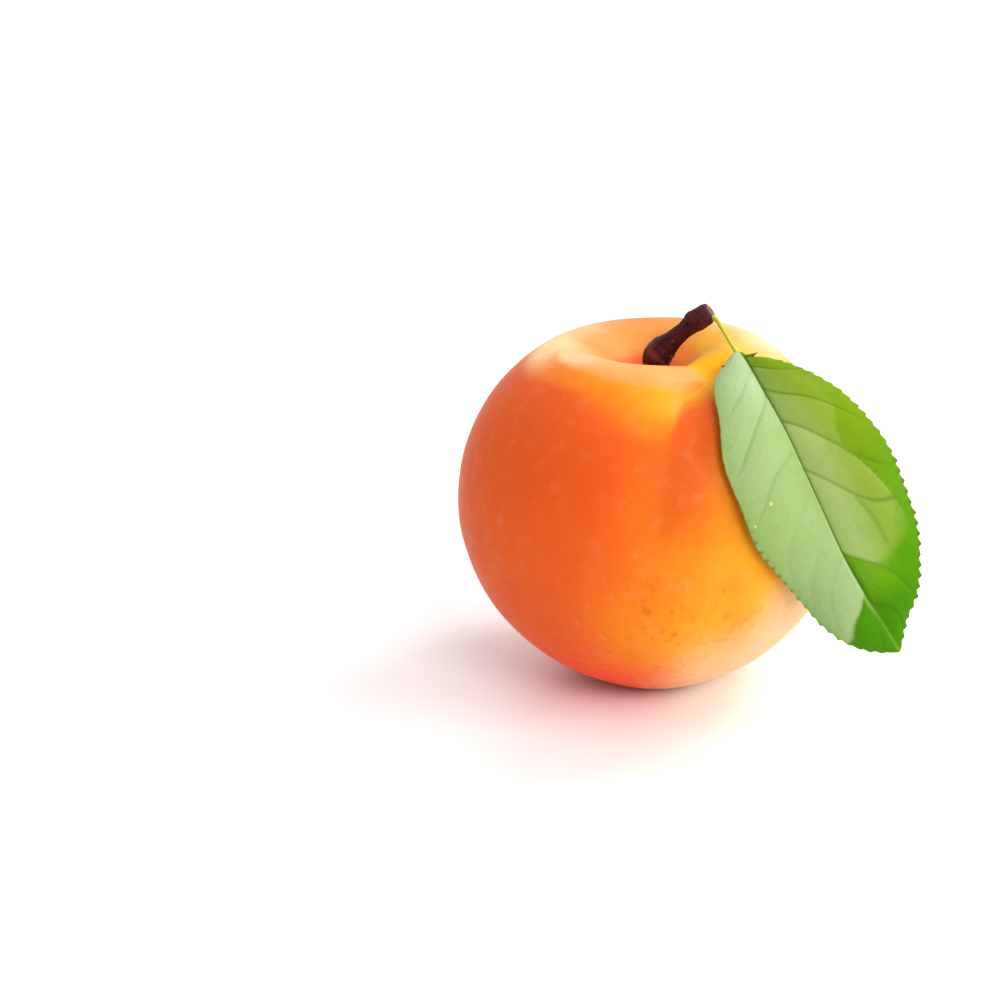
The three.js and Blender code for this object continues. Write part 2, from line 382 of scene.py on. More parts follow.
def puckered(wire, place, top, size):  # small folds that run in to the stalk's foot
    px, py, pz = place.parts()
    footX, footY = fruit["stalkFoot"]
    away = ((px - footX) * (px - footX) + (py - footY) * (py - footY)).root()
    bearing = wire.math("ARCTAN2", py - footY, px - footX)
    wander = noiseAt(place, 0.5, 1) * fruit["puckerWander"]
    folds = (bearing * fruit["puckerCount"] + wander).sin() * away.bell(fruit["puckerReach"])
    folds = folds * away.smooth(*fruit["puckerStarts"]) * top
    pz = (pz + centreHeight + folds * size("Puckers")).atLeast(0)
    return wire.joined(px, py, pz).scaled(mm)


def growFruit(material):
    grower = Grower("fruitForm", fruit["inputs"])
    wire, size = grower.wire, grower.size
    mesh = wire.node("GeometryNodeMeshGrid", None, {
        "Size X": 1, "Size Y": 1, "Vertices X": size("Sides"), "Vertices Y": size("Rings"),
    })
    towards, fromSeam, down = directions(wire)
    x, y, z = towards.parts()

    # the plain body
    top = z.above(0)
    height = size("Base Height") + top * (size("Top Height") - size("Base Height"))
    power = top * (fruit["shoulderPower"] - fruit["basePower"]) + fruit["basePower"]
    across = (x * x + y * y).root() / size("Half Width")
    body = (across ** power + (abs(z) / height) ** power) ** (-1 / power)

    # the hollow, the raised shoulder at the back and the nub at the blossom end
    axis = Vector((*fruit["hollowShift"], 1)).normalized()
    offAxis = wire.math("ARCCOSINE", wire.vector("DOT_PRODUCT", towards, tuple(axis), output=1).atMost(1))
    dent = (-((offAxis / size("Hollow Width")) ** fruit["hollowPower"])).exp()
    azimuth = wire.math("ARCTAN2", x, -y) - fruit["backAzimuth"]
    raised = azimuth.cos() * (offAxis - fruit["backDown"]).bell(fruit["backSpread"])
    nub = ((math.pi - down) * size("Base Height")).bell(fruit["nubWidth"])

    distance = fromSeam * down.sin() * size("Half Width")
    groove, proud = seamAndCheek(distance, down, size)
    lumps = noiseAt(towards, fruit["lumpScale"], 2, 0.45) - 0.5
    radius = body + raised * size("Back Shoulder") - dent * size("Hollow Depth") + nub * size("Blossom Nub")
    radius = radius + proud * size("Right Cheek") - groove + lumps * size("Lumps") * 2
    place = puckered(wire, towards.scaled(radius), top, size)

    # what the skin needs to know is stored while the grid is still flat
    for label, value in (("fromSeam", distance), ("fromHollow", offAxis), ("dent", dent)):
        mesh = wire.node("GeometryNodeStoreNamedAttribute", {"data_type": "FLOAT", "domain": "POINT"}, {
            "Geometry": mesh, "Name": label, "Value": value,
        })
    mesh = wire.node("GeometryNodeSetPosition", None, {"Geometry": mesh, "Position": place})
    weld = {"Geometry": mesh, "Distance": fruit["weld"] * mm}
    grower.finish(wire.node("GeometryNodeMergeByDistance", None, weld), material)
    return grower.grow("fruitSkin")


# The skin. On a ball about the fruit's middle x is right, y back and z up. The seam's value is
# how far to the right of it a point lies, in millimetres. The hollow's and the rim's are angles
# out from the hollow's middle.
skin = {
    # Some of these colours paint light and shade: the pale creams and the peach paint sheen and highlights
    # (the cream is also the skin's own pale streaks), the bright gold paints light glowing through the flesh,
    # the dull orange and the dark brownish orange paint shade, and the deep red paints shade in part.
    "amber": paint(235, 162, 28), "orange": paint(232, 128, 20), "blush": paint(230, 95, 26),
    "deepBlush": paint(218, 78, 24), "glowGold": paint(252, 184, 22), "creamAndSheen": paint(238, 190, 144),
    "ivoryHighlight": paint(252, 219, 158), "peachHighlight": paint(232, 152, 78), "hollowShade": paint(216, 137, 60),
    "base": paint(252, 66, 32), "leafShadow": paint(196, 88, 16), "freckle": paint(190, 98, 16),
    "cloudScale": 55, "softScale": 24, "fineScale": 420, "poreScale": 2600,
    "patchScale": 80, "spotScale": 620, "streakScale": 1150, "rimNoise": math.radians(9),
    "ripeRight": 0.82, "ripeFront": 0.16, "ripeDown": 0.3, "ripeStart": 0.23, "ripeBack": 0.5,
    # painted light and shade: yellower under the leaf against its cast shadow, redder low on the left, partly
    # blush and partly shade, and low at the right front for shade
    "ripeNoise": 0.25, "ripeShifts": {"paintedLightUnderLeaf": 0.18, "shadedLowLeft": -0.16, "lower": 0.1, "shadedLowRight": -0.24},
    "wedgeRipe": 0.74, "seamShadeRipe": 0.3, "seamShadeAt": 2.3, "seamShadeWidth": 2.8,
    "crestHighlightTilt": math.radians(3.5), "frontRimHighlightTilt": math.radians(6), "viewFront": 0.94, "viewUp": 0.342,
    "grainDepth": 0.05, "poreDepth": 0.02,
}
skinPatches = {
    "wedge": [("slant", 0.53, 0.78), ("seam", 0.6, -1.2), ("seam", -19, -13), ("y", 0.4, 0.1)],
    "seamShadeSeam": [("y", 0.4, 0.1), ("z", 0, 0.4), ("hollow", *radians(31, 44))],
    "belowCrest": [("rim", *radians(50, 39)), ("y", 0.4, 0)],
    "paintedLightUnderLeaf": [("x", 0.22, 0.5), ("z", -0.45, -0.1), ("z", 0.45, 0.2)],
    "shadedLowLeft": [("x", 0, -0.4), ("z", -0.2, -0.6)],
    "lower": [("z", 0, -0.35), ("x", -0.45, -0.15), ("x", 0.3, 0.05)],
    "shadedLowRight": [("x", 0.25, 0.38), ("z", 0.1, -0.08), ("y", 0, -0.5)],
    "leafShadow": [("x", -0.2, 0.08), ("x", 0.3, 0.15), ("z", 0.05, 0.3), ("z", 0.75, 0.5), ("y", -0.4, -0.7)],
    # the red underside is partly the fruit's own red and partly painted shade
    "foot": [("z", -0.45, -0.85), ("x", 0.5, -0.1)],
    "crestHighlight": [("y", 0.45, -0.2), ("seam", -0.5, -5.5)],
    "farBelow": [("z", -0.25, -0.5), ("x", 0, 0.2)],
    "side": [("x", -0.15, 0.25), ("z", 0.85, 0.6)],
    "ivoryHighlight": [("z", 0.6, 0.8), ("x", -0.4, -0.6)],
    "frontRimHighlight": [("y", -0.1, -0.35), ("x", -0.55, -0.25)],
    # painted light: gold on the hollow's right wall; painted shade: red to the right of the stalk's foot
    "glowGolden": [
        ("rim", *radians(41, 29)), ("x", 0.02, 0.22), ("x", 0.56, 0.28), ("seam", -1.5, 0.5),
        ("y", 0.5, 0.08),
    ],
    "redRight": [("dent", 0.42, 0.62), ("x", 0.1, 0.2)],
}


def skinPlaces(wire, place):
    towards = wire.vector("NORMALIZE", wire.vector("SUBTRACT", place, (0, 0, centreHeight * mm)))
    x, y, z = towards.parts()
    seam, hollow, dent = carried(wire, "fromSeam", "fromHollow", "dent")
    cloud = noiseAt(place, skin["cloudScale"], 4, 0.55) - 0.5
    soft = noiseAt(place, skin["softScale"], 2, 0.5) - 0.5
    return {
        "x": x, "y": y, "z": z, "seam": seam, "hollow": hollow, "dent": dent, "cloud": cloud, "soft": soft,
        "rim": hollow + (cloud + soft) * skin["rimNoise"], "slant": z + seam * 0.006 + cloud * 0.1,
        "patches": skinPatches,
    }


# How yellow the skin is: least on the sunlit cheek at the front left, most at the right, low and
# behind. Gold runs down the left of the seam in a wedge, partly painted light on the seam's lit
# wall, and the right of it stays red, painted shade on the seam's shaded wall.
def ripeness(at, seamShade):
    x, y, z = at["x"], at["y"], at["z"]
    ripe = x * skin["ripeRight"] - y * skin["ripeFront"] - z * skin["ripeDown"] + skin["ripeStart"]
    ripe = ripe + y.smooth(0, 0.9) * skin["ripeBack"]
    ripe = ripe + at["cloud"] * skin["ripeNoise"] + at["soft"] * skin["ripeNoise"]
    wedge = patch(at, "wedge")
    belowCrest = patch(at, "belowCrest")
    for name, shift in skin["ripeShifts"].items():
        ripe = ripe + patch(at, name) * shift
    ripe = ripe + wedge.atLeast(belowCrest) * skin["wedgeRipe"] - seamShade * skin["seamShadeRipe"]
    return ripe.atLeast(0).atMost(1)


def blushed(at, ripe):
    colour = ripe.smooth(0, 0.5).blend(skin["blush"], skin["orange"])
    deep = (at["cloud"] * 1.6 - ripe * 1.5 - at["x"]).smooth(0.1, 1)
    return laid(colour, skin, [
        (ripe.smooth(0.4, 1), "amber"), (deep * 0.6, "deepBlush"),
        # painted shade: a dark orange beside the leaf where it shades the fruit; the deep red of the
        # underside is partly the fruit's own red and partly painted shade
        (patch(at, "leafShadow") * 0.5, "leafShadow"), (patch(at, "foot") * 0.9, "base"),
    ])


# Painted sheen and highlight: pale colour on the crest of the hollow and where the skin turns edge-on to the
# camera, at the top, the right and low down, for the light that the down catches there.
def paintedSheenOver(at, seamShade):
    x, y, z = at["x"], at["y"], at["z"]
    noisy = at["cloud"] + at["soft"]
    crestHighlight = at["rim"] - x.smooth(-0.15, 0.05) * skin["crestHighlightTilt"]
    crestHighlight = patch(at, "crestHighlight", crestHighlight.smooth(*radians(36, 30.5))) * 0.9
    # how squarely the skin faces the camera; the painted sheen grows as it turns away
    facingView = z * skin["viewUp"] - y * skin["viewFront"]
    edge = 1 - facingView.atLeast(0.15 - facingView * 1.2) + noisy * y.smooth(-0.3, 0.2) * 0.5
    further = x.smooth(0.4, 0.65) * (z.smooth(0, -0.3) * 0.16 + 0.12)
    further = further + patch(at, "farBelow") * 0.08
    onSide = patch(at, "side", (edge + further).smooth(0.22, 0.78))
    onTop = edge.smooth(0.45, 0.85) * z.smooth(0.7, 0.81)
    paintedSheen = (onSide * (0.9 - z.smooth(-0.45, 0.35) * 0.55)).atLeast(onTop * 0.95).atLeast(crestHighlight)
    return paintedSheen * (1 - seamShade * 0.8)


# Painted light and shade in the hollow: a duller orange on its walls for the shade there, gold on the right
# wall for light glowing through the flesh, and red about the foot of the stalk for the deepest shade.
def hollowed(at, colour):
    outside = at["rim"].smooth(*radians(20, 30))
    red = at["dent"].smooth(0.6, 0.9).atLeast(patch(at, "redRight") * 0.6)
    return laid(colour, skin, [
        ((1 - outside) * 0.95, "hollowShade"), (patch(at, "glowGolden"), "glowGold"), (red * 0.85, "base"),
    ])


def freckled(at, place, colour, ripe, paintedSheen):
    spots = cellsAt(place, skin["spotScale"])
    chosen = spots.out("Color").parts()[0].smooth(0.5, 0.95)
    area = (noiseAt(place, skin["patchScale"], 2) - at["z"] * 0.3).smooth(0.44, 0.6)
    area = area * (1 - paintedSheen * 0.9) * (ripe.smooth(0, 0.35) * 0.5 + 0.5)
    dots = spots.smooth(0.42, 0.1) * chosen * area
    drawn = place.vector("MULTIPLY", place, (1, 1, 0.5))  # streaks run up and down
    streaks = noiseAt(drawn, skin["streakScale"], 3, 0.6)
    return dots, laid(colour, skin, [
        (streaks.smooth(0.54, 0.72) * area * 0.42, "freckle"),
        (streaks.smooth(0.42, 0.28) * area * 0.1, "creamAndSheen"), (dots * 0.32, "freckle"),
    ])


def skinMaterial():
    material, wire, place = newMaterial(
        "apricotSkin", Subsurface_Weight=0.35, Subsurface_Scale=0.004, Subsurface_Radius=(1, 0.38, 0.13),
        Sheen_Weight=0.1, Sheen_Roughness=0.2, Sheen_Tint=paint(255, 232, 210), Specular_IOR_Level=0.09,
    )
    at = skinPlaces(wire, place)
    # painted shade: the wall right of the seam is redder and keeps no sheen
    seamShade = (at["seam"] - skin["seamShadeAt"]).bell(skin["seamShadeWidth"])
    seamShade = patch(at, "seamShadeSeam", seamShade)
    ripe = ripeness(at, seamShade)
    paintedSheen = paintedSheenOver(at, seamShade)
    # the colour of the painted sheen, whiter at the top left
    creamAndSheen = patch(at, "ivoryHighlight").blend(skin["creamAndSheen"], skin["ivoryHighlight"])
    # painted highlight: a peach band along the front of the hollow's rim, left of the seam
    frontRimHighlight = (at["rim"] - at["x"] * skin["frontRimHighlightTilt"]).smooth(*radians(40, 36))
    frontRimHighlight = patch(at, "frontRimHighlight", frontRimHighlight) * at["seam"].smooth(1, -4) * 0.9
    # the painted sheen over the skin's colour, then the painted highlight on the rim and the painted light
    # and shade of the hollow
    colour = paintedSheen.blend(blushed(at, ripe), creamAndSheen)
    colour = hollowed(at, frontRimHighlight.blend(colour, skin["peachHighlight"]))
    fine = noiseAt(place, skin["fineScale"], 4, 0.65) - 0.5
    mottling = [(fine.smooth(0, 0.3) * 0.2, "deepBlush"), (fine.smooth(0, -0.3) * 0.12, "creamAndSheen")]
    dots, colour = freckled(at, place, laid(colour, skin, mottling), ripe, paintedSheen)
    grain = bumpFrom(noiseAt(place, skin["poreScale"], 2, 0.6), skin["poreDepth"] * mm)
    return coated(material, {
        "Base Color": colour, "Roughness": 0.46 + at["cloud"] * 0.12 + dots * 0.08,
        "Normal": bumpFrom(fine, skin["grainDepth"] * mm, grain),
    })


skinCoat = skinMaterial()
fruitMesh = growFruit(skinCoat)
newPiece("apricotFruit", fruitMesh, skinCoat, "fruit")


# The down: hairs so short that they only soften the fruit's edge and catch the light.
down = {
    "inputs": {
        "Density": 4.35e6, "Length": 0.26 * mm, "Root": 0.009 * mm, "Lean": 0.6, "Bare Foot": 0.8 * mm,
        "Shortest": 0.5, "Longest": 1.15, "Swirl Scale": 90.0, "Seed": 11,
    },
    "dark": paint(250, 136, 36), "light": paint(252, 168, 62), "toneScale": 300,
}


def downMaterial():
    material, _, place = newMaterial(
        "apricotDown", Roughness=0.7, Sheen_Weight=0.2, Specular_IOR_Level=0.12,
    )
    tone = noiseAt(place, down["toneScale"], 2)
    return coated(material, {"Base Color": tone.smooth(0.3, 0.7).blend(down["dark"], down["light"])})


def growDown(material):
    grower = Grower("downHairs", down["inputs"])
    wire, size = grower.wire, grower.size
    where = wire.node("GeometryNodeInputPosition")
    points = wire.node("GeometryNodeDistributePointsOnFaces", {"distribute_method": "RANDOM"}, {
        "Mesh": grower.given, "Density": size("Density"), "Seed": size("Seed"),
        "Selection": where.parts()[2].above(size("Bare Foot")),
    })
    hair = wire.node("GeometryNodeMeshCone", {"fill_type": "TRIANGLE_FAN"}, {
        "Vertices": 3, "Radius Top": 0, "Radius Bottom": size("Root"), "Depth": size("Length"),
    })
    jitter = wire.node("FunctionNodeRandomValue", {"data_type": "FLOAT_VECTOR"}, {
        0: (-1, -1, -1), 1: (1, 1, 1), "Seed": size("Seed"),
    })
    swirl = noiseAt(where, size("Swirl Scale"), 1, output=1)
    lean = wire.vector("ADD", jitter, wire.vector("MULTIPLY", swirl, (2, 2, 2)))
    lean = wire.vector("SUBTRACT", lean, (1, 1, 1.6))  # centres the swirl, and droops a little
    way = wire.vector("ADD", points.out("Normal"), lean.scaled(size("Lean")))
    stand = wire.node("FunctionNodeAlignRotationToVector", {"axis": "Z"}, {"Vector": way})
    grown = wire.node("FunctionNodeRandomValue", {"data_type": "FLOAT"}, {
        2: size("Shortest"), 3: size("Longest"), "Seed": size("Seed"),
    }, 1)
    hairs = wire.node("GeometryNodeInstanceOnPoints", None, {
        "Points": points, "Instance": hair, "Rotation": stand, "Scale": grown,
    })
    grower.finish(hairs, material)
    return grower.grow("downHairs", fruitMesh.copy())


downLook = downMaterial()
newPiece("apricotDown", growDown(downLook), downLook)


# The stalk: from its foot in the hollow to the knob at its cut end.
stalk = {
    "path": [
        (0.2, 3.1, 39.7), (0.3, 2.2, 42.4), (1.1, 1.8, 43.6), (2.8, 0.9, 45.5),
        (4.2, 0.4, 47), (5.6, -0.1, 48.2), (6.75, -0.3, 49.1),
    ],
    "radii": [
        (0, 1.4), (0.14, 1.65), (0.25, 1.86), (0.33, 1.7), (0.41, 1.42), (0.53, 1.14),
        (0.66, 1.06), (0.81, 1.36), (0.93, 1.36), (0.98, 1.2), (1, 0.95),
    ],
    "rings": 190, "sides": 84, "ridges": 0.192, "ridgeTurns": 3.2, "ridgeRun": 3, "knots": 0.12,
    "knotScale": 0.9, "knotPlace": (7, 3, 1), "wrinkles": 0.08, "wrinkleTurns": 1.1, "wrinkleRun": 46,
    "wrinkleAt": 0.82, "wrinkleReach": 0.16, "budScar": 0.3, "scarAt": 0.8, "scarReach": 0.04,
    "scarBearing": 0.25, "scarWidth": 0.2, "cutEdge": 0.015, "cutEdgeTone": 0.4,
    "cutRows": [(0.86, 0.05), (0.6, -0.02), (0.25, -0.1)], "pith": 0.12,  # shares of the rim, and heights
}


def barkRelief(p, s, t):  # at a point of the plain stalk, its share of the way and its turn
    def fine(turns, run):
        return noise.noise(Vector((math.cos(t) * turns, math.sin(t) * turns, s * run)))

    relief = stalk["ridges"] * fine(stalk["ridgeTurns"], stalk["ridgeRun"])
    relief += stalk["knots"] * noise.noise(p * stalk["knotScale"] + Vector(stalk["knotPlace"]))
    folded = math.exp(-(((s - stalk["wrinkleAt"]) / stalk["wrinkleReach"]) ** 2))
    relief += stalk["wrinkles"] * fine(stalk["wrinkleTurns"], stalk["wrinkleRun"]) * folded
    offScar = ((s - stalk["scarAt"]) / stalk["scarReach"]) ** 2
    offScar += (1 - math.cos(t - stalk["scarBearing"])) / stalk["scarWidth"]
    return relief + stalk["budScar"] * math.exp(-offScar)


def buildStalk():
    rings, sides = stalk["rings"], stalk["sides"]
    share = np.linspace(0, 1, rings)
    path = curveThrough(stalk["path"], rings)
    turn = np.linspace(0, fullTurn, sides, endpoint=False)
    radius = np.repeat(stationed(stalk["radii"], share)[:, None], sides, 1)
    bare = ringsAlong(path, sides, radius)
    for i, s in enumerate(share):
        for k, t in enumerate(turn):
            radius[i, k] += barkRelief(Vector(bare[i, k]), s, t)
    skinned = ringsAlong(path, sides, radius)
    ahead = unit(path[-1] - path[-2])
    rim, middle = skinned[-1], path[-1]
    inner = [middle + (rim - middle) * part + ahead * up for part, up in stalk["cutRows"]]
    points = np.vstack([skinned.reshape(-1, 3), *inner, [path[0], middle - ahead * stalk["pith"]]])
    cutPoints = np.ones(len(inner) * sides)
    edge = np.clip((share - (1 - stalk["cutEdge"])) / stalk["cutEdge"], 0, 1) * stalk["cutEdgeTone"]
    return meshFrom("stalkBark", points, skinOver(rings + len(inner), sides), {
        "along": np.concatenate([np.repeat(share, sides), cutPoints, [0, 1]]),
        "cut": np.concatenate([np.repeat(edge, sides), cutPoints, [0, 1]]),
    })


bark = {
    "dark": paint(34, 8, 10), "maroon": paint(76, 16, 27), "brown": paint(118, 58, 48),
    "tan": paint(138, 98, 74), "pith": paint(92, 54, 42), "lenticel": paint(150, 104, 84),
    "patchScale": 380, "grainScale": 1500, "lenticelScale": 900, "wornAt": 0.27, "wornReach": 0.03,
    "patchDepth": 0.12, "grainDepth": 0.06,
}


def barkMaterial():
    material, wire, place = newMaterial("stalkBark", Specular_IOR_Level=0.2)
    along, cut = carried(wire, "along", "cut")
    patches = noiseAt(place, bark["patchScale"], 4, 0.6)
    grain = noiseAt(place, bark["grainScale"], 4, 0.7)
    worn = (along - bark["wornAt"]).bell(bark["wornReach"]) * patches.smooth(0.3, 0.5)
    spots = cellsAt(place, bark["lenticelScale"])
    dots = (1 - spots.smooth(0.1, 0.26)) * spots.out("Color").parts()[0].above(0.7)
    colour = laid(patches.smooth(0.35, 0.7).blend(bark["dark"], bark["maroon"]), bark, [
        (worn * 0.75, "brown"), ((grain - 0.5).smooth(0.06, 0.3) * 0.5, "brown"), (dots * 0.3, "lenticel"),
    ])
    wood = grain.smooth(0.35, 0.65).blend(bark["pith"], bark["tan"])
    below = bumpFrom(patches, bark["patchDepth"] * mm)
    return coated(material, {
        "Base Color": cut.smooth(0.25, 0.8).blend(colour, wood), "Roughness": 0.46 + grain * 0.2 + cut * 0.15,
        "Normal": bumpFrom(grain, bark["grainDepth"] * mm, below),
    })


newPiece("apricotStalk", buildStalk(), barkMaterial(), "stalk")


# The leaf. Places on it are shares: along from its base to its tip, and across from the midrib to
# a margin, negative on the left.
leaf = {
    "petiole": [
        (6.5, -0.6, 48.5), (7.35, -1.4, 48.3), (8.05, -2.7, 47.5), (8.75, -4.6, 46.6), (9.4, -6.9, 45.9),
    ],
    "midrib": [
        (9.7, -7.8, 46), (10.4, -8.9, 45.4), (12.6, -13.6, 42.4), (14.9, -16.4, 38.7), (17, -17.8, 34.5),
        (19.2, -18.5, 29.9), (22.2, -19.3, 23.7), (25.7, -19.2, 17.5), (29.95, -18.5, 10.35),
    ],
    "leftMargin": [
        (9.5, -7.8, 46.1), (8.8, -8.9, 45.9), (7.7, -10.9, 45.1), (6.4, -14, 44), (6.6, -18.9, 40.8),
        (7, -22, 37.1), (8.9, -23.8, 31.7), (11.4, -23.9, 26), (15.8, -21.1, 19.8),
        (20.5, -20, 14.1), (24.5, -19.5, 11.4), (27.4, -19, 10.6), (29.95, -18.5, 10.35),
    ],
    "rightMargin": [
        (9.9, -7.9, 46), (11.2, -8.5, 45.6), (13.2, -9.2, 45.6), (17.1, -11, 44.9), (22.7, -12.9, 41.8),
        (26.9, -15, 37.3), (30, -16.7, 30.8), (31.7, -17.6, 24.2), (31.7, -17.9, 18.7),
        (30.35, -18.3, 13.8), (29.95, -18.5, 10.35),
    ],
    "length": 43.4, "columns": 44, "rowsPerTooth": 11, "thickness": 0.34, "marginThinning": 0.55,
    "bulge": 0.9, "waves": 5, "waveHeight": 0.2,
    "teeth": 36, "toothDepth": 0.44, "toothPeak": 0.72, "toothRise": 1.3, "toothLean": 0.35,
    "toothRoot": 0.18, "toothSize": 0.75, "sizeSwing": 0.3, "sizeWaves": (61, 23),
    "baseTaper": 0.05, "tipTaper": 0.04,
    "channelDepth": 0.09, "channelWidth": 0.24, "pillow": 0.12, "pillowReach": 2.5,
    "midribDepth": 0.13, "midribWidth": 0.22, "endReach": 0.03, "veinWobble": 0.005, "forkStrength": 0.7,
    # Side veins from base to tip: where each leaves the midrib, its slope and bend towards the
    # tip, how strong it is, and the gloss of the panel beyond it.
    "sideVeins": {
        -1: [
            (-0.12, 0.09, 0, 0, 0.9), (0.08, 0.15, 0.05, 0.4, 1), (0.165, 0.22, 0, 0.9, 0.95),
            (0.33, 0.13, 0.04, 0.5, 0.9), (0.448, 0.14, 0.1, 0.16, 0.92), (0.56, 0.15, 0.08, 0.12, 0.94),
            (0.652, 0.15, 0.08, 0.2, 1.05), (0.785, 0.14, -0.05, 0.35, 0), (0.884, 0.1, 0, 0.35, 0),
            (1.1, 0, 0, 0, 0),
        ],
        1: [
            (-0.12, 0.09, 0, 0, 0.1), (0.066, 0.09, 0.02, 0.6, 0.45), (0.148, 0.155, 0.08, 1, 0.6),
            (0.258, 0.19, 0.28, 1, 0.9), (0.398, 0.31, -0.14, 1, 1), (0.545, 0.24, 0, 0.1, 0.95),
            (0.648, 0.2, 0, 0.8, 0.06), (0.74, 0.18, 0, 0.2, 0), (0.812, 0.13, 0, 0.7, 0),
            (0.913, 0.09, 0, 0.3, 0), (1.1, 0, 0, 0, 0),
        ],
    },
    "veinForks": [
        ((0.524, 0.415), (0.601, 0.505), (0.668, 0.545)), ((0.419, 0.57), (0.472, 0.8), (0.495, 0.93)),
    ],
    # how far out the gloss of the right half goes down the leaf, and how softly it ends
    "glossReach": [
        (0, 0.7), (0.22, 0.82), (0.287, 0.76), (0.352, 0.55), (0.387, 0.52), (0.432, 0.61), (0.511, 0.76),
        (0.548, 0.83), (0.613, 0.82), (0.658, 0.77), (0.688, 0.62), (0.713, 0.4), (0.78, 0.2), (1, 0.1),
    ],
    "glossSoftness": [(0.2, 0.2), (0.3, 0.06), (0.56, 0.06), (0.66, 0.34)],
    "leftGlossReach": 1.3,
}


# For every point of the blade: how far off the nearest side vein is, in millimetres, how strong
# that vein is, where the point lies between two veins, and the gloss of its panel.
def veinField(along, across):
    out = np.abs(across)
    apart, strength, between, gloss = (np.zeros((len(along), len(across))) for _ in range(4))
    softness = np.interp(along, *zip(*leaf["glossSoftness"]))
    for side, veins in leaf["sideVeins"].items():
        starts, slopes, bends, strengths, glosses = (np.array(v) for v in zip(*veins))
        last = len(veins) - 1
        reach = np.interp(along, *zip(*leaf["glossReach"])) if side > 0 else leaf["leftGlossReach"]
        for k in np.nonzero(across * side >= 0)[0]:
            c = out[k]
            lines = starts + slopes * c + bends * c ** 3 + leaf["veinWobble"] * np.sin(9 * c + 40 * starts)
            place = np.interp(along, lines, np.arange(len(lines)))
            near = np.clip(np.round(place).astype(int), 0, last)
            panel = np.clip(place.astype(int), 0, last)
            apart[:, k] = np.abs(along - lines[near]) * leaf["length"]
            strength[:, k] = strengths[near]
            between[:, k] = place - panel
            fall = np.clip((reach - c) / softness + 0.5, 0, 1)
            thins = glosses[np.minimum(panel + 1, last)] == 0  # gloss thins out before a matt panel
            thin = np.clip((1 - between[:, k]) / (0.05 + 0.5 * c ** 3), 0, 1)
            gloss[:, k] = glosses[panel] * fall * np.where(thins, thin, 1)
    return apart, strength, between, gloss


def plainBlade(along, across):  # its points, the reach from midrib to margin, and the way ahead
    middle = curveThrough(leaf["midrib"], along)
    ahead = unit(np.gradient(middle, axis=0))
    margins = [curveThrough(leaf[side], along) for side in ("leftMargin", "rightMargin")]
    share = np.abs(across)[None, :, None]
    reach = np.where(across[None, :, None] < 0, margins[0][:, None], margins[1][:, None]) - middle[:, None]
    upward = unit(np.cross(reach, ahead[:, None]) * np.where(across < 0, 1, -1)[None, :, None], 1e-9)
    wave = leaf["waveHeight"] * share ** 2 * np.sin(fullTurn * leaf["waves"] * along)[:, None, None]
    halfWidth = np.linalg.norm(reach, axis=2)[..., None] / 10
    lift = (leaf["bulge"] * 4 * share * (1 - share) + wave) * halfWidth
    return middle[:, None] + reach * share + upward * lift, reach, ahead


# The serrated margin: each tooth rises slowly and drops off ahead of its tip.
def toothed(flat, reach, ahead, step, across):
    phase, peak = (step * leaf["teeth"]) % 1, leaf["toothPeak"]
    tooth = np.where(phase < peak, (phase / peak) ** leaf["toothRise"], (1 - phase) / (1 - peak))
    tooth = tooth * (0.7 + 0.3 * tooth * (3 - 2 * tooth))
    slow, fast = leaf["sizeWaves"]
    size = leaf["toothSize"] + leaf["sizeSwing"] * np.sin(step * slow) * np.sin(step * fast)
    size = size * np.clip(np.minimum(step / leaf["baseTaper"], (1 - step) / leaf["tipTaper"]), 0, 1)
    leftShare = np.clip(0.2 + (step[:, None] - 0.4) * 1.3, 0.2, 0.6)  # teeth are smaller on the left
    sides = np.where(across < 0, leftShare, 0.7 + 0.3 * step[:, None])
    root = leaf["toothRoot"]
    edge = np.clip((np.abs(across) - (1 - root)) / root, 0, 1) ** 1.5
    push = ((tooth * size)[:, None] * sides * edge[None] * leaf["toothDepth"])[..., None]
    return flat + unit(reach, 1e-9) * push + ahead[:, None] * push * leaf["toothLean"], tooth


# Channels over the veins, pillows between them, and the groove of the midrib. Also gives the way
# up at each point, and the values that the leaf's colours go by.
def veined(flat, reach, along, across):
    a, c = along[:, None], across[None]
    apart, strength, between, gloss = veinField(along, across)
    width = np.linalg.norm(reach, axis=2) * np.abs(c)
    for fork in leaf["veinForks"]:
        points = [flat[np.abs(along - p).argmin(), np.abs(across - q).argmin()] for p, q in fork]
        way = curveThrough(points, 40)
        off = np.min(np.linalg.norm(flat[:, :, None] - way, axis=3), axis=2)
        strength = np.where(off < apart, leaf["forkStrength"], strength)
        apart = np.minimum(apart, off)
    inside = np.clip((0.97 - np.abs(c)) / 0.2, 0, 1) * np.clip((1 - a) / 0.06, 0, 1)
    channel = np.exp(-((apart / leaf["channelWidth"]) ** 2)) * inside * strength
    pillow = (np.minimum(apart, leaf["pillowReach"]) / leaf["pillowReach"]) ** 0.7
    pillow = pillow * (1.25 - 0.5 * between) * inside * np.clip(width / 2, 0, 1)
    midrib = np.exp(-((width / leaf["midribWidth"]) ** 2))
    sink = -leaf["channelDepth"] * channel + leaf["pillow"] * pillow
    sink = sink - leaf["midribDepth"] * midrib * np.clip((0.86 - a) / 0.1, -0.5, 1)
    sink = sink * np.clip(a / leaf["endReach"], 0, 1) * np.clip((1 - a) / leaf["endReach"], 0, 1)
    up = unit(np.cross(np.gradient(flat, axis=0), np.gradient(flat, axis=1)), 1e-12)
    values = {"along": a, "across": c, "channel": channel, "fromMidrib": width * np.sign(c), "gloss": gloss}
    return flat + up * sink[..., None], up, values


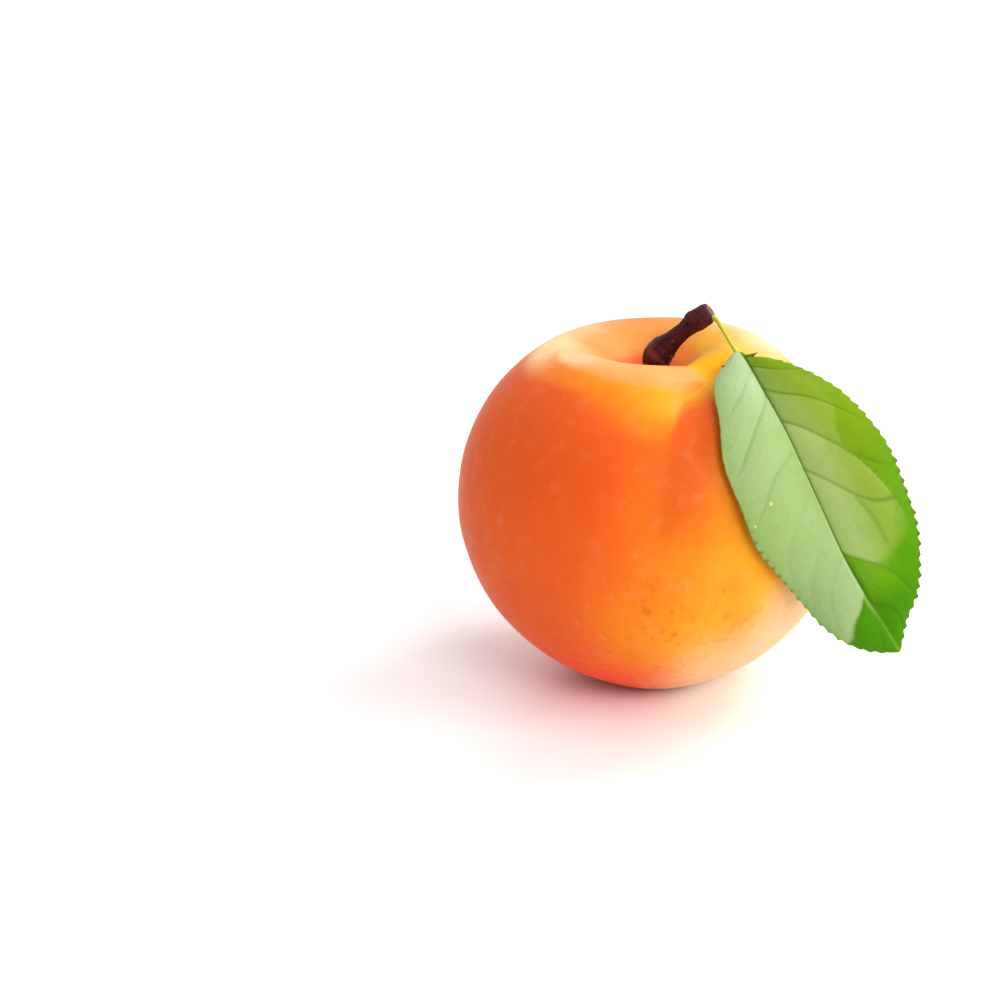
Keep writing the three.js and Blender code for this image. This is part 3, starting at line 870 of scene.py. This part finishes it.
def buildBlade():  # also gives its underside, which the ribs run along
    rows = leaf["teeth"] * leaf["rowsPerTooth"] + 1
    side = 1 - (1 - np.linspace(0, 1, leaf["columns"] + 1)) ** 1.15  # closer towards the margin
    across = np.concatenate([-side[:0:-1], side])
    step = np.linspace(0, 1, rows)
    along = 0.004 + 0.992 * step  # stops just short of the ends, where the margins meet
    flat, reach, ahead = plainBlade(along, across)
    flat, tooth = toothed(flat, reach, ahead, step, across)
    flat, up, values = veined(flat, reach, along, across)

    thin = (leaf["thickness"] * (1 - leaf["marginThinning"] * np.abs(across[None]) ** 3) / 2)[..., None]
    upper, lower = flat + up * thin, flat - up * thin
    wide = len(across)
    count = rows * wide
    here = np.arange(count).reshape(rows, wide)
    a, b, c, d = here[:-1, :-1].ravel(), here[1:, :-1].ravel(), here[1:, 1:].ravel(), here[:-1, 1:].ravel()
    faces = [*zip(a, b, c, d), *zip(a + count, d + count, c + count, b + count)]
    border = [*here[:-1, 0], *here[-1, :-1], *here[:0:-1, -1], *here[0, :0:-1]]
    for p, q in zip(border, border[1:] + border[:1]):
        faces.append((q, p, p + count, q + count))
    values["tooth"] = tooth[:, None]
    both = {name: np.tile(np.broadcast_to(value, (rows, wide)).ravel(), 2) for name, value in values.items()}
    both["underside"] = np.concatenate([np.zeros(count), np.ones(count)])
    points = np.vstack([upper.reshape(-1, 3), lower.reshape(-1, 3)])
    return meshFrom("leafBlade", points, faces, both), (along, across, lower)


leafLook = {
    # The pale greyish and silvery greens paint the leaf's reflection where it is glossy; the vein green also
    # paints shade in the vein channels and the midrib's groove.
    "green": paint(78, 134, 0), "deepGreen": paint(58, 118, 0), "fresh": paint(100, 150, 8),
    "olive": paint(106, 136, 4), "paleShineLeft": paint(145, 168, 112), "silver": paint(160, 182, 142),
    "matt": paint(143, 160, 60), "pale": paint(172, 188, 122), "fleck": paint(214, 228, 176),
    "vein": paint(62, 100, 14), "rib": paint(118, 154, 48), "under": paint(140, 168, 104),
    "toothTip": paint(96, 84, 20), "cloudScale": 110, "smallScale": 700, "cellScale": 1500,
    "netScale": 480, "fleckScale": 620, "cellDepth": 0.012, "netDepth": 0.008,
}
leafPatches = {
    "fresh": [("along", 0.62, 0.68), ("along", 0.84, 0.76), ("across", 0.02, 0.12), ("across", 0.8, 0.35)],
    "ridge": [("along", 0.2, 0.3), ("along", 0.88, 0.8)],
    "toothTips": [("tooth", 0.35, 0.8), ("outward", 0.93, 0.985), ("along", 0.42, 0.55)],
    "flecks": [("across", -0.55, -0.7), ("along", 0.2, 0.26), ("along", 0.56, 0.5)],
}


# Green at the right and towards the tip. Where the leaf is glossy, on the left half and between
# the veins of the right one, a pale silvery colour is painted in as a reflection, beside a real coat.
def leafGround(at, place, left, shine):
    along, across, cloud = at["along"], at["across"], at["cloud"]
    small = noiseAt(place, leafLook["smallScale"], 3, 0.6) - 0.5
    outer = (across * 0.25 + along * 1.6 + cloud * 0.3).smooth(0.7, 1.3)
    colour = laid(outer.blend(leafLook["olive"], leafLook["green"]), leafLook, [
        (along.smooth(0.6, 0.9) * 0.8, "deepGreen"), (patch(at, "fresh") * 0.7, "fresh"),
    ])
    shineColour = across.smooth(0.15, 0.6).blend(leafLook["pale"], leafLook["matt"])
    shineColour = left.blend(shineColour, along.smooth(0.32, 0.08).blend(leafLook["paleShineLeft"], leafLook["silver"]))
    # painted reflection: the pale colour laid where the leaf is glossy
    colour = (shine * (left * (0.12 + along.smooth(0.5, 0.8) * 0.12) + 0.6)).blend(colour, shineColour)
    return (small.smooth(0, 0.3) * 0.12).blend(colour, leafLook["deepGreen"])


# The net of small veins, the side veins, darker in their channels as partly painted shade, and the
# midrib: a pale ridge with a dark line at its right, painted shade in its groove, which turns pale itself
# near the tip.
def leafLines(at, colour, net, left):
    along, fromMidrib = at["along"], at["fromMidrib"]
    line = (fromMidrib - 0.05).bell(0.15) * along.smooth(0.86, 0.8)
    return laid(colour, leafLook, [
        (net * 0.04, "vein"), (at["channel"] * (1 - left * 0.35) * 0.5, "vein"),
        (patch(at, "ridge", (fromMidrib + 0.28).bell(0.22)) * 0.35, "pale"), (line * 0.85, "vein"),
        (fromMidrib.bell(0.2) * along.smooth(0.8, 0.86) * 0.7, "rib"),
    ])


# Brown tips on the teeth, and a few pale flecks by the left margin.
def leafMarks(at, place, colour, left):
    tips = patch(at, "toothTips") * (0.75 - left * at["along"].smooth(0.62, 0.75) * 0.45)
    grit = cellsAt(place, leafLook["fleckScale"])
    flecks = grit.smooth(0.22, 0.06) * grit.out("Color").parts()[0].above(0.8) * left
    return laid(colour, leafLook, [(tips, "toothTip"), (patch(at, "flecks", flecks) * 0.65, "fleck")])


def leafMaterial():
    material, wire, place = newMaterial(
        "leafGreen", Subsurface_Weight=0.08, Subsurface_Scale=0.001, Subsurface_Radius=(0.5, 1, 0.2),
        Specular_IOR_Level=0.05, Coat_Roughness=0.55,
    )
    names = ("along", "across", "channel", "fromMidrib", "gloss", "tooth", "underside")
    at = dict(zip(names, carried(wire, *names)))
    at["outward"], at["patches"] = abs(at["across"]), leafPatches
    at["cloud"] = cloud = noiseAt(place, leafLook["cloudScale"], 3, 0.5) - 0.5
    left = (at["across"] * -1).above(0)
    under = at["underside"]
    cells = cellsAt(place, leafLook["cellScale"], "DISTANCE_TO_EDGE")
    net = cellsAt(place, leafLook["netScale"], "DISTANCE_TO_EDGE")
    shine = (at["gloss"] * (1 + cloud * 0.5) - at["outward"].smooth(0.82, 1.05) * 0.25).atLeast(0)
    colour = leafGround(at, place, left, shine)
    colour = leafLines(at, colour, net.smooth(0.1, 0), left)
    colour = leafMarks(at, place, colour, left)
    relief = bumpFrom(cells.smooth(0, 0.25), leafLook["cellDepth"] * mm)
    return coated(material, {
        "Base Color": (under * 0.7).blend(colour, leafLook["under"]),
        "Roughness": 0.42 + cloud * 0.12 + under * 0.2,
        "Coat Weight": shine * (1 - under) * (left * 0.2 + 0.14),
        "Normal": bumpFrom(net.smooth(0, 0.16), leafLook["netDepth"] * mm, relief),
    })


bladeMesh, bladeUnderside = buildBlade()
newPiece("leafBlade", bladeMesh, leafMaterial(), "leaf")


# The petiole, which runs on under the blade as its midrib, and the ribs of its side veins.
ribs = {
    "inputs": {"Thickness": 1.0, "Rib Sides": 12, "Roughness": 0.06},
    "petioleRadii": [
        (0, 0.38), (0.03, 0.3), (0.08, 0.24), (0.14, 0.28), (0.2, 0.34), (0.3, 0.32), (0.6, 0.22), (1, 0.07),
    ],
    "sideRadii": [(0, 0.15), (0.3, 0.12), (1, 0.035)],
    "weakest": 0.3,  # side veins weaker than this have no rib
    "midribDrop": 0.1, "sideDrop": 0.02, "sideReach": (0.02, 0.86), "roughScale": 900,
    "yellow": paint(168, 178, 20), "bright": paint(196, 192, 36), "pale": paint(168, 190, 120),
    "grain": paint(150, 156, 50), "grainScale": 900, "cloudScale": 160, "grainDepth": 0.03,
}


def petioleMaterial():
    material, wire, place = newMaterial("petioleGreen", Specular_IOR_Level=0.4)
    along, = carried(wire, "along")
    grain = noiseAt(place, ribs["grainScale"], 3, 0.6)
    cloud = noiseAt(place, ribs["cloudScale"], 2)
    colour = laid(cloud.smooth(0.35, 0.65).blend(ribs["yellow"], ribs["bright"]), ribs, [
        (along.smooth(0.12, 0.24), "pale"), (grain.smooth(0.5, 0.8) * 0.35, "grain"),
    ])
    bump = bumpFrom(grain, ribs["grainDepth"] * mm)
    return coated(material, {"Base Color": colour, "Roughness": 0.4 + grain * 0.15, "Normal": bump})


# A point below the underside of the blade, in between those of its mesh.
def beneath(a, c, drop):
    along, across, lower = bladeUnderside
    i, j = np.interp(a, along, np.arange(len(along))), np.interp(c, across, np.arange(len(across)))
    i0, j0 = min(int(i), len(along) - 2), min(int(j), len(across) - 2)
    here, ahead, out = lower[i0, j0], lower[i0 + 1, j0] - lower[i0, j0], lower[i0, j0 + 1] - lower[i0, j0]
    return here + ahead * (i - i0) + out * (j - j0) + unit(np.cross(out, ahead)) * drop


def ribPaths():  # each a path, its radii, and the least share along that its colour goes by
    midrib = [beneath(a, 0, ribs["midribDrop"]) for a in np.linspace(0.03, 0.97, 14)]
    paths = [(curveThrough([*leaf["petiole"], *midrib], 240), ribs["petioleRadii"], 0)]
    for side, veins in leaf["sideVeins"].items():
        for start, slope, bend, strength, _ in veins:
            if strength < ribs["weakest"]:
                continue
            reach = np.linspace(*ribs["sideReach"], 16)
            places = start + slope * reach + bend * reach ** 3
            onBlade = [(a, c * side) for a, c in zip(places, reach) if 0.01 < a < 0.985]
            points = [beneath(a, c, ribs["sideDrop"]) for a, c in onBlade]
            paths.append((curveThrough(points, 60), ribs["sideRadii"], 1))
    return paths


def growRibs(material):
    points, edges, thick, along = [], [], [], []
    for path, radii, least in ribPaths():
        first = len(points)
        share = np.linspace(0, 1, len(path))
        points.extend(path)
        edges.extend((k, k + 1) for k in range(first, first + len(path) - 1))
        thick.extend(stationed(radii, share))
        along.extend(np.maximum(share, least))
    lines = bpy.data.meshes.new("ribLines")
    lines.from_pydata([tuple(p) for p in np.array(points) * mm], edges, [])
    carry(lines, {"thick": np.array(thick) * mm, "along": along})
    grower = Grower("leafRibs", ribs["inputs"])
    wire, size = grower.wire, grower.size
    curve = wire.node("GeometryNodeMeshToCurve", None, {0: grower.given})
    place = wire.node("GeometryNodeInputPosition")
    uneven = 1 + (noiseAt(place, ribs["roughScale"], 2) - 0.5) * size("Roughness") * 4
    radius = wire.node("GeometryNodeInputNamedAttribute", {"data_type": "FLOAT"}, {"Name": "thick"})
    ring = wire.node("GeometryNodeCurvePrimitiveCircle", None, {"Resolution": size("Rib Sides"), "Radius": 1})
    scale = radius * uneven * size("Thickness")
    tubes = wire.node("GeometryNodeCurveToMesh", None, {
        "Curve": curve, "Profile Curve": ring, "Scale": scale, "Fill Caps": True,
    })
    grower.finish(tubes, material)
    return grower.grow("leafRibs", lines)


petioleGreen = petioleMaterial()
newPiece("leafPetiole", growRibs(petioleGreen), petioleGreen)


# Two small glands at the base of the blade, one on each side. The left one is brown.
gland = {
    "lines": [
        (
            [(10.2, -8.6, 45.45), (10.8, -8.75, 45.75), (11.5, -8.75, 45.95), (12, -8.7, 46.3)],
            [0.1, 0.22, 0.17, 0.05],
        ),
        ([(7.9, -10.9, 44.9), (7.65, -11, 45.1), (7.45, -11.1, 45.2)], [0.12, 0.24, 0.1]),
    ],
    "rings": 26, "sides": 16, "lumps": 0.05, "lumpScale": 2.2, "seed": 5, "leftEnds": (9, 8),
    "green": paint(74, 84, 12), "olive": paint(100, 104, 26), "brown": paint(112, 62, 24),
    "grainScale": 2200, "grainDepth": 0.03,
}


def glandMaterial():
    material, _, place = newMaterial("glandBrown", Specular_IOR_Level=0.5)
    grain = noiseAt(place, gland["grainScale"], 3, 0.6)
    right, left = gland["leftEnds"]
    colour = grain.smooth(0.35, 0.65).blend(gland["green"], gland["olive"])
    colour = place.parts()[0].smooth(right * mm, left * mm).blend(colour, gland["brown"])
    bump = bumpFrom(grain, gland["grainDepth"] * mm)
    return coated(material, {"Base Color": colour, "Roughness": 0.3 + grain * 0.2, "Normal": bump})


def buildGlands():
    noise.seed_set(gland["seed"])  # the vector noise is drawn anew each run without one
    rings, sides = gland["rings"], gland["sides"]
    points, faces = [], []
    for path, radii in gland["lines"]:
        share = np.linspace(0, 1, rings)
        rounded = np.sqrt(np.clip(1 - (2 * share - 1) ** 8, 0.02, 1))  # blunt at both ends
        radius = np.interp(share, np.linspace(0, 1, len(radii)), radii) * rounded
        skinned = ringsAlong(curveThrough(path, rings), sides, np.repeat(radius[:, None], sides, 1))
        first = len(points)
        for p in skinned.reshape(-1, 3):
            p = Vector(p)
            points.append(p + Vector(noise.noise_vector(p * gland["lumpScale"])) * gland["lumps"])
        points.extend([path[0], path[-1]])
        faces.extend(tuple(first + k for k in face) for face in skinOver(rings, sides))
    return meshFrom("leafGlands", [tuple(p) for p in points], faces)


newPiece("leafGlands", buildGlands(), glandMaterial())


# The white floor, a sky that is brighter on one side, and three lamps. Lamps are placed in metres.
stage = {
    "floor": 6, "white": (0.93, 0.93, 0.93, 1), "gloss": 0.35,
    "dim": 0.36, "bright": 1.12, "from": (0.36, 0.45, 0.82), "turns": (-0.4, 0.9), "aim": (0, 0, 25),
    "lamps": {  # place, size and power
        "keyLight": ((0.6, 0.4, 0.8), 0.45, 4.5),
        "sideLight": ((0.9, -0.25, 0.38), 0.45, 5.1),
        "fillLight": ((0.4, -0.85, 0.6), 0.5, 4.8),
    },
}


def makeFloor():
    mesh = bpy.data.meshes.new("floor")
    reach = stage["floor"] / 2
    corners = [(-reach, -reach, 0), (reach, -reach, 0), (reach, reach, 0), (-reach, reach, 0)]
    mesh.from_pydata(corners, [], [(0, 1, 2, 3)])
    mesh.materials.append(newMaterial("floorWhite", Roughness=stage["gloss"], Base_Color=stage["white"])[0])
    placed("floor", mesh)


def makeSky():
    world = bpy.data.worlds.new("studio")
    bpy.context.scene.world = world
    world.use_nodes = True
    world.node_tree.nodes["Background"].inputs[0].default_value = (1, 1, 1, 1)
    wire = Wire(world.node_tree)
    way = wire.node("ShaderNodeTexCoord")
    lit = wire.vector("DOT_PRODUCT", way, stage["from"], output=1)
    feed(world, "Background", {"Strength": lit.smooth(*stage["turns"], stage["dim"], stage["bright"])})


def addLamp(name, place, size, power):
    data = bpy.data.lights.new(name, "AREA")
    data.shape, data.size, data.energy = "DISK", size, power
    lamp = placed(name, data)
    lamp.location = place
    lamp.rotation_euler = (Vector(stage["aim"]) * mm - Vector(place)).to_track_quat("-Z", "Y").to_euler()


makeFloor()
makeSky()
for name, (place, size, power) in stage["lamps"].items():
    addLamp(name, place, size, power)
bpy.context.scene.view_settings.view_transform = "Standard"
print("floor and light ready")
